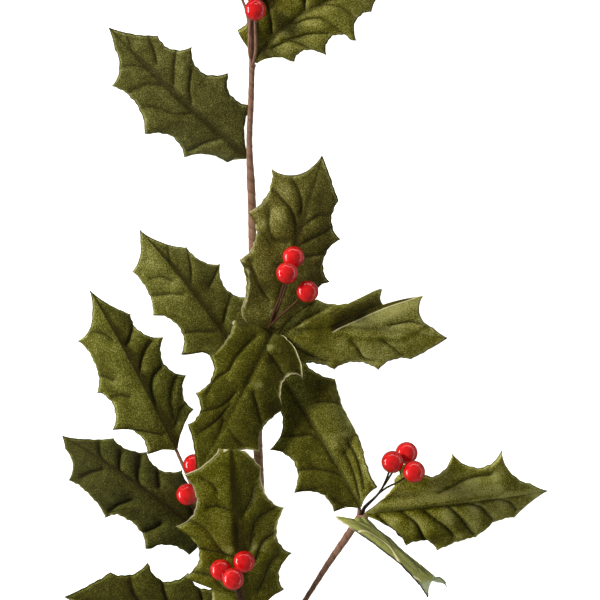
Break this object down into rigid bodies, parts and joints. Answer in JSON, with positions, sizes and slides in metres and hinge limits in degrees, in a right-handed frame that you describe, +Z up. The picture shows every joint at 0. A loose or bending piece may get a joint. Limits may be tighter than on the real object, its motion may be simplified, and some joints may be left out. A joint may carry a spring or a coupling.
{
  "type": "artificial holly sprig",
  "caption": "Artificial holly spray: flocked spiny leaves and glossy berry picks on a tape-wrapped wire stem.",
  "frame": {"origin": "middle of the bounding box, on the table that the sprig lies on", "axes": "+Y along the stem from its cut end to the crown, +Z up from the table, leaf fronts facing up"},
  "size_m": [0.2452, 0.508, 0.0802],
  "materials": {
    "leaf_velvet": "flocked matte",
    "tape": "matte",
    "berry_gloss": "gloss",
    "wire_tape": "matte",
    "wire_black": "satin"
  },
  "bodies": {
    "root": {"main_stem": "tape", "twig_upper": "tape", "twig_left": "tape", "branch_right": "tape", "twig_low": "tape", "leaf_top_left": "leaf_velvet", "leaf_top_right": "leaf_velvet", "leaf_crown": "leaf_velvet", "leaf_crown_side": "leaf_velvet", "leaf_single": "leaf_velvet", "leaf_upper_up": "leaf_velvet", "leaf_upper_right": "leaf_velvet", "leaf_upper_down": "leaf_velvet", "leaf_right_up": "leaf_velvet", "leaf_right_out": "leaf_velvet", "leaf_right_down": "leaf_velvet", "leaf_left_up": "leaf_velvet", "leaf_left_out": "leaf_velvet", "leaf_low_front": "leaf_velvet", "leaf_low_left": "leaf_velvet", "leaf_low_right": "leaf_velvet", "berry_top_1": "berry_gloss", "berry_top_2": "berry_gloss", "berry_top_3": "berry_gloss", "berry_upper_1": "berry_gloss", "berry_upper_2": "berry_gloss", "berry_upper_3": "berry_gloss", "berry_right_1": "berry_gloss", "berry_right_2": "berry_gloss", "berry_right_3": "berry_gloss", "berry_left_1": "berry_gloss", "berry_left_2": "berry_gloss", "berry_left_3": "berry_gloss", "berry_low_1": "berry_gloss", "berry_low_2": "berry_gloss", "berry_low_3": "berry_gloss", "wires_top": "wire_tape", "wires_upper": "wire_tape", "wires_left": "wire_tape", "wires_low": "wire_tape", "wires_right": "wire_black"}
  },
  "joints": []
}
